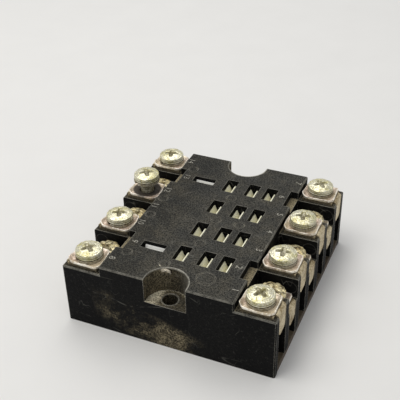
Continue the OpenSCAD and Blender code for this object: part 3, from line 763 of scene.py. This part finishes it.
    # its walls are brown too, and the end face has a smear low down
    under_rim = between(tree, place["Z"], TOP - 0.04 * MM, TOP - 0.2 * MM)
    off_end = between(tree, lengthways, END - 0.02 * MM, END - 0.15 * MM)
    wall = math_node(tree, "MULTIPLY", math_node(tree, "MULTIPLY", in_recess, off_end), math_node(tree, "MULTIPLY", under_rim, between(tree, place["X"], -4.0 * MM, 3.0 * MM, 0.42, 0.16)))
    along, slanted = place["X"], math_node(tree, "MULTIPLY_ADD", place["X"], SMEAR_SLANT, place["Z"])
    smear_x, smear_z = near(tree, along, -4.5 * MM, 15.0 * MM), near(tree, slanted, 2.8 * MM, 5.5 * MM)
    smear_patches = between(tree, noise(tree, point, 130.0, 7.0, 0.68), 0.4, 0.66, 0.0, 0.6)
    on_end = math_node(tree, "MULTIPLY", between(tree, facing["Y"], -0.8, -0.98), smear_patches)
    smear = math_node(tree, "MULTIPLY", math_node(tree, "MULTIPLY", smear_x, smear_z), on_end)
    dust = math_node(tree, "MULTIPLY", dust, shade_under_plates)
    lain = math_node(tree, "MAXIMUM", math_node(tree, "MAXIMUM", dust, ledge), math_node(tree, "MAXIMUM", wall, smear))
    brown = math_node(tree, "MULTIPLY", lain, patches, clamp=True)
    colour = mix_colour(tree, math_node(tree, "MULTIPLY", brown, speckle, clamp=True), colour, TAN_DUST)
    # pale crumbs in one corner of the recess floor and along the foot of its wall, painted extra pale as light on the
    # shaded floor
    crumbs_and_light = math_node(tree, "MULTIPLY", math_node(tree, "MULTIPLY", in_recess, off_end), between(tree, place["X"], -1.6 * MM, -3.6 * MM, 0.0, 1.0))
    seam = near(tree, from_recess, RECESS_R - 0.15 * MM, 0.3 * MM)
    crumbs_and_light = math_node(tree, "MAXIMUM", crumbs_and_light, math_node(tree, "MULTIPLY", math_node(tree, "MULTIPLY", in_recess, seam), 0.22))
    crumbs_and_light = math_node(tree, "MULTIPLY", math_node(tree, "MULTIPLY", crumbs_and_light, up), math_node(tree, "MULTIPLY", patches, under_rim))
    colour = mix_colour(tree, math_node(tree, "MULTIPLY", crumbs_and_light, speckle, clamp=True), colour, CRUMBS_AND_LIGHT)
    # painted light: the right part of the recess wall is mixed towards the pale rubbed colour in streaks, as if lit
    drawn = put(tree, "ShaderNodeVectorMath", {0: point, 1: (1.0, 1.0, 0.12)}, operation="MULTIPLY").outputs["Vector"]
    streaks = between(tree, noise(tree, drawn, 1500.0, 3.0, 0.7), 0.35, 0.65, 0.25, 1.0)
    lit_side = between(tree, place["X"], 0.0, 4.6 * MM, 0.0, 0.42)
    lit_side = math_node(tree, "MULTIPLY", math_node(tree, "MULTIPLY", in_recess, off_end), math_node(tree, "MULTIPLY", lit_side, between(tree, facing["Z"], 0.5, 0.2)))
    colour = mix_colour(tree, math_node(tree, "MULTIPLY", math_node(tree, "MULTIPLY", lit_side, streaks), under_rim), colour, rubbed_and_lit)
    colour = mix_colour(tree, worn, colour, rubbed_and_lit)
    roughness = math_node(tree, "MULTIPLY_ADD", grain["Mottle"], 0.25, math_node(tree, "MULTIPLY_ADD", brown, 0.25, 0.42), clamp=True)
    height = math_node(tree, "MULTIPLY_ADD", speckle, 0.35, grain["Height"])
    bump = bumped(tree, height, 0.05 * MM, rounded_normal(tree, 0.1 * MM), 0.7)
    feed(tree, shader, Base_Color=colour, Roughness=roughness, Normal=bump, Specular_IOR_Level=0.06)
    return made


phenolic = phenolic_material("black_phenolic", GREYED, 0.52)
relief = phenolic_material("rubbed_relief", PALE, 0.8, inner_fade=0.0)
torn = phenolic_material("torn_phenolic", (0.75, 0.67, 0.53, 1), 1.0, (0.8, 0.73, 0.6, 1), 0.0)
marked = phenolic_material("faintly_marked_phenolic", GREYED, 0.5, (0.09, 0.086, 0.075, 1))
print("materials", phenolic.name, relief.name, torn.name, marked.name)

# %% [markdown]
# ## Plated metals
# Screws, washers, plates, strips and springs are all plated metal at different stages of wear. One
# function makes them: a clean colour, a tarnish in patches, bright rubbed edges, scratches, and a
# dark colour for grime and painted shade where the piece says so in an attribute of its own, painted
# shade where its corners see little sky, and on the terminals painted shade towards the housing.

# %% Metal


def metal_material(name, clean, tarnish, grime_and_shade, patch=(0.42, 0.62), rough=(0.36, 0.55), bevel=0.12, grime_and_shade_attribute=None, scale=300.0, metal=1.0, fleck=0.5, fleck_from=0.54, shade_toward_housing=False, bump=0.06, fleck_scale=2600.0):
    """Plated metal. The patch limits say how much of it is tarnished, and one argument names a mask on the mesh of
    grime and painted shade.
    """
    made, tree, shader = new_material(name)
    grain = use_group(tree, surface_grain, Fine_Scale=2400.0, Coarse_Scale=scale)
    rounded = rounded_normal(tree, bevel * MM)
    worn = use_group(tree, edge_wear, Rounded_Normal=rounded, Patch_Scale=420.0, Amount=0.8)["Mask"]
    strokes = use_group(tree, fine_scratches, Scale=700.0, Width=0.03, Turn=1.1)["Mask"]
    dull = between(tree, grain["Height"], patch[0], patch[1])
    flecks = between(tree, noise(tree, object_point(tree), fleck_scale, 4.0, 0.75), fleck_from, fleck_from + 0.16, 0.0, fleck)
    # painted shade: corners that see little sky are mixed towards the darkest colour
    corner = between(tree, openness(tree, 1.2 * MM), 0.8, 0.3)
    colour = mix_colour(tree, dull, clean, tarnish)
    colour = mix_colour(tree, math_node(tree, "MULTIPLY", strokes, 0.35), colour, clean)
    colour = mix_colour(tree, math_node(tree, "MULTIPLY", worn, 0.6), colour, clean)
    dirt_and_shade = math_node(tree, "MAXIMUM", math_node(tree, "MULTIPLY", corner, 0.75), flecks)
    # painted shade: the terminal tabs darken towards the housing, where they run under the plates
    if shade_toward_housing:
        place = put(tree, "ShaderNodeSeparateXYZ", {"Vector": object_point(tree)}).outputs
        housing_shade = between(tree, math_node(tree, "ABSOLUTE", place["X"]), SIDE - 0.9 * MM, SIDE - 1.6 * MM, 0.0, 0.8)
        dirt_and_shade = math_node(tree, "MAXIMUM", dirt_and_shade, housing_shade)
    # the mesh's own mask darkens with grime and with painted shade
    if grime_and_shade_attribute:
        mask = put(tree, "ShaderNodeAttribute", attribute_name=grime_and_shade_attribute).outputs["Fac"]
        broken = between(tree, grain["Mottle"], 0.35, 0.6, 0.7, 1.0)
        dirt_and_shade = math_node(tree, "MAXIMUM", dirt_and_shade, math_node(tree, "MULTIPLY", mask, broken))
    colour = mix_colour(tree, dirt_and_shade, colour, grime_and_shade)
    spread = math_node(tree, "MULTIPLY_ADD", dull, rough[1] - rough[0], rough[0])
    roughness = math_node(tree, "MULTIPLY_ADD", dirt_and_shade, 0.35, spread, clamp=True)
    metallic = between(tree, dirt_and_shade, 0.2, 0.9, metal, 0.35 * metal)
    height = math_node(tree, "SUBTRACT", grain["Height"], math_node(tree, "MULTIPLY", strokes, 0.25))
    feed(tree, shader, Base_Color=colour, Roughness=roughness, Metallic=metallic, Normal=bumped(tree, height, bump * MM, rounded, 0.8))
    return made


screw_finish = metal_material("yellowed_nickel", (0.95, 0.91, 0.71, 1), (0.64, 0.59, 0.3, 1), (0.11, 0.09, 0.05, 1), grime_and_shade_attribute="grime_and_shade", metal=0.85, fleck=0.75, fleck_from=0.5, rough=(0.3, 0.5), bump=0.14)
golden_finish = metal_material("golden_stained_nickel", (1.0, 0.9, 0.58, 1), (0.8, 0.62, 0.28, 1), (0.06, 0.042, 0.018, 1), grime_and_shade_attribute="grime_and_shade", metal=0.5, scale=420.0, fleck=1.0, fleck_from=0.45, bump=0.14, fleck_scale=900.0)
washer_finish = metal_material("spring_steel", (0.8, 0.76, 0.62, 1), (0.5, 0.42, 0.26, 1), (0.1, 0.075, 0.04, 1), rough=(0.4, 0.6), grime_and_shade_attribute="grime_and_shade", metal=0.85)
terminal_finish = metal_material("dull_plated_brass", (0.68, 0.58, 0.38, 1), (0.34, 0.26, 0.14, 1), (0.05, 0.035, 0.018, 1), rough=(0.42, 0.62), metal=0.6, fleck=0.45, shade_toward_housing=True)
# painted light: the contact leaves are pale bronze and silver, made near white and barely metallic so they read bright
# in the shade of the slots, the coil contacts as a white glare
bronze_and_light_finish = metal_material("contact_bronze", (1.0, 0.97, 0.76, 1), (0.92, 0.88, 0.62, 1), (0.6, 0.55, 0.34, 1), rough=(0.5, 0.65), metal=0.0, fleck=0.25)
silver_and_glare_finish = metal_material("silvered_contact_painted_glare", (0.97, 0.96, 0.93, 1), (0.92, 0.91, 0.86, 1), (0.8, 0.78, 0.72, 1), rough=(0.5, 0.6), metal=0.05, fleck=0.1)
plain_steel = metal_material("plain_steel", (0.45, 0.43, 0.38, 1), (0.25, 0.22, 0.17, 1), (0.05, 0.04, 0.03, 1))
print("metals", 7)

# %% [markdown]
# ### Clamp plates
# The plates are pinkish where the nickel has gone from the brass, dark round the hole, with painted
# shade in their corners, and bright along their bent edges, partly rubbed and partly a painted
# highlight. The mesh carries the distance from the screw, so the dark disc follows it.

# %% Plate finish


def plate_material():
    """Worn nickel over brass, with a dark ring that follows the mesh's distance from the screw, painted shade in its
    corners and bright edges that are partly a painted highlight.
    """
    made, tree, shader = new_material("worn_clamp_plating")
    grain = use_group(tree, surface_grain, Fine_Scale=1900.0, Coarse_Scale=330.0)
    strokes = use_group(tree, fine_scratches, Scale=600.0, Width=0.035, Turn=0.2)["Mask"]
    from_axis = put(tree, "ShaderNodeAttribute", attribute_name="from_axis").outputs["Fac"]
    edge = put(tree, "ShaderNodeAttribute", attribute_name="edge").outputs["Fac"]
    wander = math_node(tree, "MULTIPLY_ADD", grain["Mottle"], 1.2, from_axis)
    ring = between(tree, wander, 4.45, 3.95)
    patches = between(tree, grain["Height"], 0.4, 0.6)
    colour = mix_colour(tree, patches, (0.9, 0.74, 0.62, 1), (0.45, 0.33, 0.24, 1))
    cream = between(tree, noise(tree, object_point(tree), 140.0, 2.0), 0.42, 0.6, 0.0, 0.4)
    colour = mix_colour(tree, cream, colour, (0.82, 0.74, 0.48, 1))
    colour = mix_colour(tree, math_node(tree, "MULTIPLY", strokes, 0.5), colour, (0.95, 0.86, 0.72, 1))
    dark_spots = between(tree, noise(tree, object_point(tree), 1500.0, 4.0, 0.75), 0.53, 0.68, 0.0, 0.75)
    colour = mix_colour(tree, dark_spots, colour, (0.16, 0.12, 0.07, 1))
    # bright edges: partly rubbed nickel and partly a painted highlight
    bright_edge_and_highlight = math_node(tree, "MULTIPLY", edge, between(tree, grain["Mottle"], 0.42, 0.62, 1.0, 0.2))
    colour = mix_colour(tree, bright_edge_and_highlight, colour, (1.0, 0.95, 0.84, 1))
    # painted shade where the plate sees little sky
    corner = between(tree, openness(tree, 0.9 * MM), 0.6, 0.2, 0.0, 0.6)
    # the dark disc round the hole and the painted corner shade share one dark colour
    dirt_and_shade = math_node(tree, "MAXIMUM", math_node(tree, "MULTIPLY", ring, 0.97), corner)
    colour = mix_colour(tree, dirt_and_shade, colour, (0.04, 0.032, 0.022, 1))
    spread = math_node(tree, "MULTIPLY_ADD", patches, 0.2, 0.34)
    roughness = math_node(tree, "MULTIPLY_ADD", dirt_and_shade, 0.3, spread, clamp=True)
    metallic = between(tree, dirt_and_shade, 0.2, 0.9, 0.6, 0.3)
    rounded = rounded_normal(tree, 0.1 * MM)
    feed(tree, shader, Base_Color=colour, Roughness=roughness, Metallic=metallic, Normal=bumped(tree, grain["Height"], 0.12 * MM, rounded, 0.8))
    return made


plate_finish = plate_material()

# %% [markdown]
# ### Base board
# The underside is closed by a brown laminated board, dusty where it shows at the foot of the wells.

# %% Board finish


def board_material():
    """Brown laminate with fine flecks and dust."""
    made, tree, shader = new_material("brown_laminate")
    grain = use_group(tree, surface_grain, Fine_Scale=3200.0, Coarse_Scale=400.0)
    dust = use_group(tree, settled_dust, Openness=openness(tree, 2.0 * MM), Patch_Scale=220.0, Corner=0.4, Film=0.5)["Mask"]
    colour = mix_colour(tree, between(tree, grain["Mottle"], 0.35, 0.65), (0.05, 0.034, 0.02, 1), (0.1, 0.07, 0.042, 1))
    colour = mix_colour(tree, dust, colour, TAN_DUST)
    roughness = math_node(tree, "MULTIPLY_ADD", grain["Mottle"], 0.3, 0.5, clamp=True)
    rounded = rounded_normal(tree, 0.1 * MM)
    feed(tree, shader, Base_Color=colour, Roughness=roughness, Normal=bumped(tree, grain["Height"], 0.05 * MM, rounded, 0.6))
    return made


board_finish = board_material()

# %% [markdown]
# ## Dress every piece
# Each CAD node and each new piece gets its material in its first slot. Doing it from one table makes
# it easy to see that nothing was left plain.

# %% Assign materials


def dress(piece, material):
    """Gives the piece this one material."""
    piece.data.materials.clear()
    piece.data.materials.append(material)


COIL_CLIPS = (9, 13)
dress(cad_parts["housing"], phenolic)
dress(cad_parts["base_plate"], board_finish)
dress(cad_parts["base_screws"], plain_steel)
dress(numbers, relief)
dress(mould_marks, marked)
dress(hole_lips, relief)
dress(torn_flash, torn)
dress(plates, plate_finish)
for k, screw, washer in zip(TERMINALS, screws, washers):
    dress(screw, screw_finish if is_upper(k) else golden_finish)
    dress(washer, washer_finish)
    dress(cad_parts["terminal_%d" % k], terminal_finish)
    dress(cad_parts["contact_clip_%d" % k], silver_and_glare_finish if k in COIL_CLIPS else bronze_and_light_finish)
print("dressed", 8 + 4 * len(TERMINALS))

# %% [markdown]
# ## Studio
# The socket stands on a plain pale floor under a large soft light from above and behind, with an even
# world for fill. A camera needs only a place, a direction and a lens.

# %% Floor, light and camera
floor_mesh = bpy.data.meshes.new("floor")
floor_mesh.from_pydata([(-2, -2, 0), (2, -2, 0), (2, 2, 0), (-2, 2, 0)], [], [(0, 1, 2, 3)])
floor = bpy.data.objects.new("floor", floor_mesh)
bpy.context.scene.collection.objects.link(floor)
floor_finish, tree, shader = new_material("pale_floor")
floor_grain = noise(tree, object_point(tree), 60.0, 4.0)
feed(tree, shader, Base_Color=mix_colour(tree, floor_grain, (0.74, 0.73, 0.71, 1), (0.78, 0.77, 0.75, 1)), Roughness=0.9)
dress(floor, floor_finish)

world = bpy.data.worlds.new("even_sky")
bpy.context.scene.world = world
world.use_nodes = True
world.node_tree.nodes["Background"].inputs["Color"].default_value = (0.95, 0.97, 1.0, 1)
world.node_tree.nodes["Background"].inputs["Strength"].default_value = 0.5


def soft_light(name, place, aim, size, power, colour):
    """A square area light at a place, turned so that its -Z axis points at the aim."""
    lamp = bpy.data.lights.new(name, "AREA")
    lamp.size, lamp.energy, lamp.color = size, power, colour
    holder = bpy.data.objects.new(name, lamp)
    holder.location = place
    holder.rotation_euler = (Vector(aim) - Vector(place)).to_track_quat("-Z", "Y").to_euler()
    bpy.context.scene.collection.objects.link(holder)


soft_light("window", (-0.14, 0.26, 0.5), (0, 0, 0.01), 0.4, 0.9, (1.0, 0.985, 0.95))
soft_light("ceiling", (-0.16, -0.14, 0.52), (0, 0, 0.01), 0.35, 1.4, (1.0, 0.985, 0.95))

camera_data = bpy.data.cameras.new("camera")
camera_data.lens, camera_data.sensor_width = 71.9, 36
camera = bpy.data.objects.new("camera", camera_data)
camera.location = (0.06186, -0.14483, 0.13135)
camera.rotation_euler = [math.radians(a) for a in (55.73, 1.15, 23.26)]
bpy.context.scene.collection.objects.link(camera)
bpy.context.scene.camera = camera
bpy.context.scene.view_settings.view_transform = "Standard"
